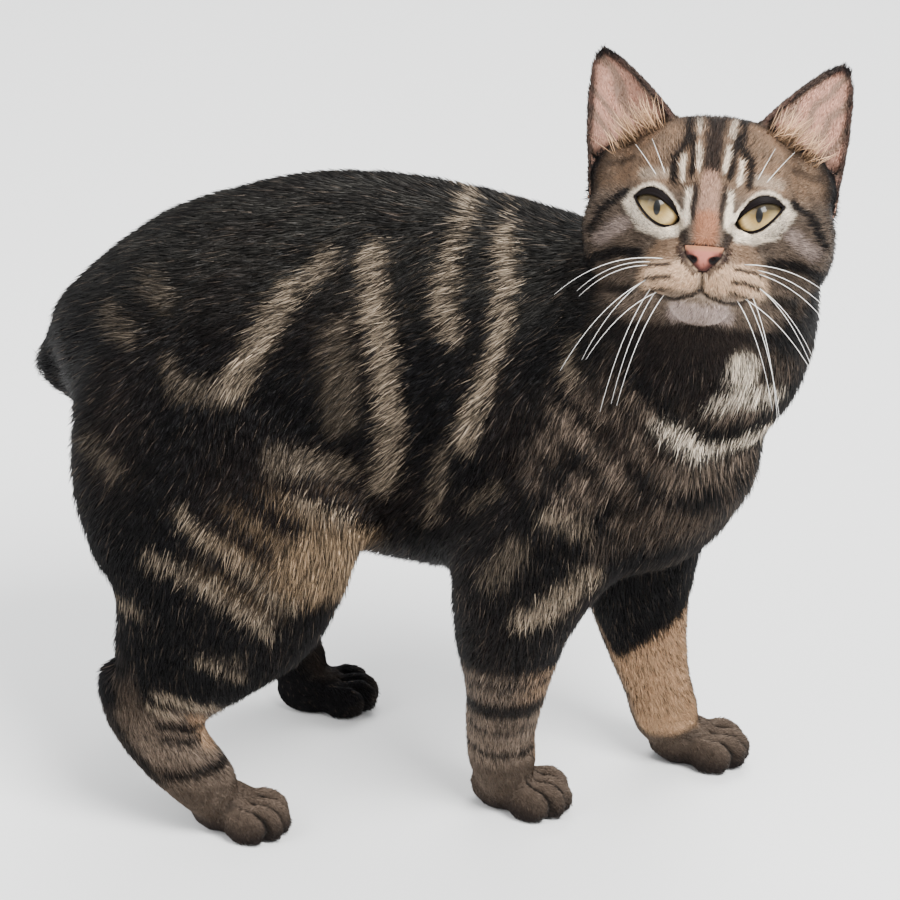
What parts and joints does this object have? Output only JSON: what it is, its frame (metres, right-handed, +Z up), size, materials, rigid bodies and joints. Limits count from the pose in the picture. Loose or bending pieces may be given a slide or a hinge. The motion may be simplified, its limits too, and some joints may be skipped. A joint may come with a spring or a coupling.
{
  "type": "manx cat",
  "caption": "Life-size still model of a short-haired tailless cat that stands on all fours and looks to its right.",
  "frame": {"origin": "middle of the underside of the whole cat's box, on the floor", "axes": "+X the way the hind body faces, +Y the cat's left, +Z up"},
  "size_m": [0.321, 0.1964, 0.329],
  "materials": {
    "coat_dark": "short dense fur, black brown with pale flecks",
    "coat_tabby": "short dense fur, grey brown with dark bars",
    "ear": "thin skin under very short fur",
    "nose_leather": "moist bare skin",
    "eye": "wet and clear, pale yellow-green iris"
  },
  "bodies": {
    "root": {"torso": "coat_dark", "tail": "coat_dark", "thigh_left": "coat_dark", "thigh_right": "coat_dark", "hock_left": "coat_tabby", "hock_right": "coat_tabby", "foreleg_left": "coat_tabby", "foreleg_right": "coat_tabby", "paw_fore_left": "coat_tabby", "paw_fore_right": "coat_tabby", "paw_hind_left": "coat_dark", "paw_hind_right": "coat_tabby", "neck": "coat_tabby", "head": "coat_tabby", "ear_left": "ear", "ear_right": "ear", "nose": "nose_leather", "eye_left": "eye", "eye_right": "eye"}
  },
  "joints": []
}
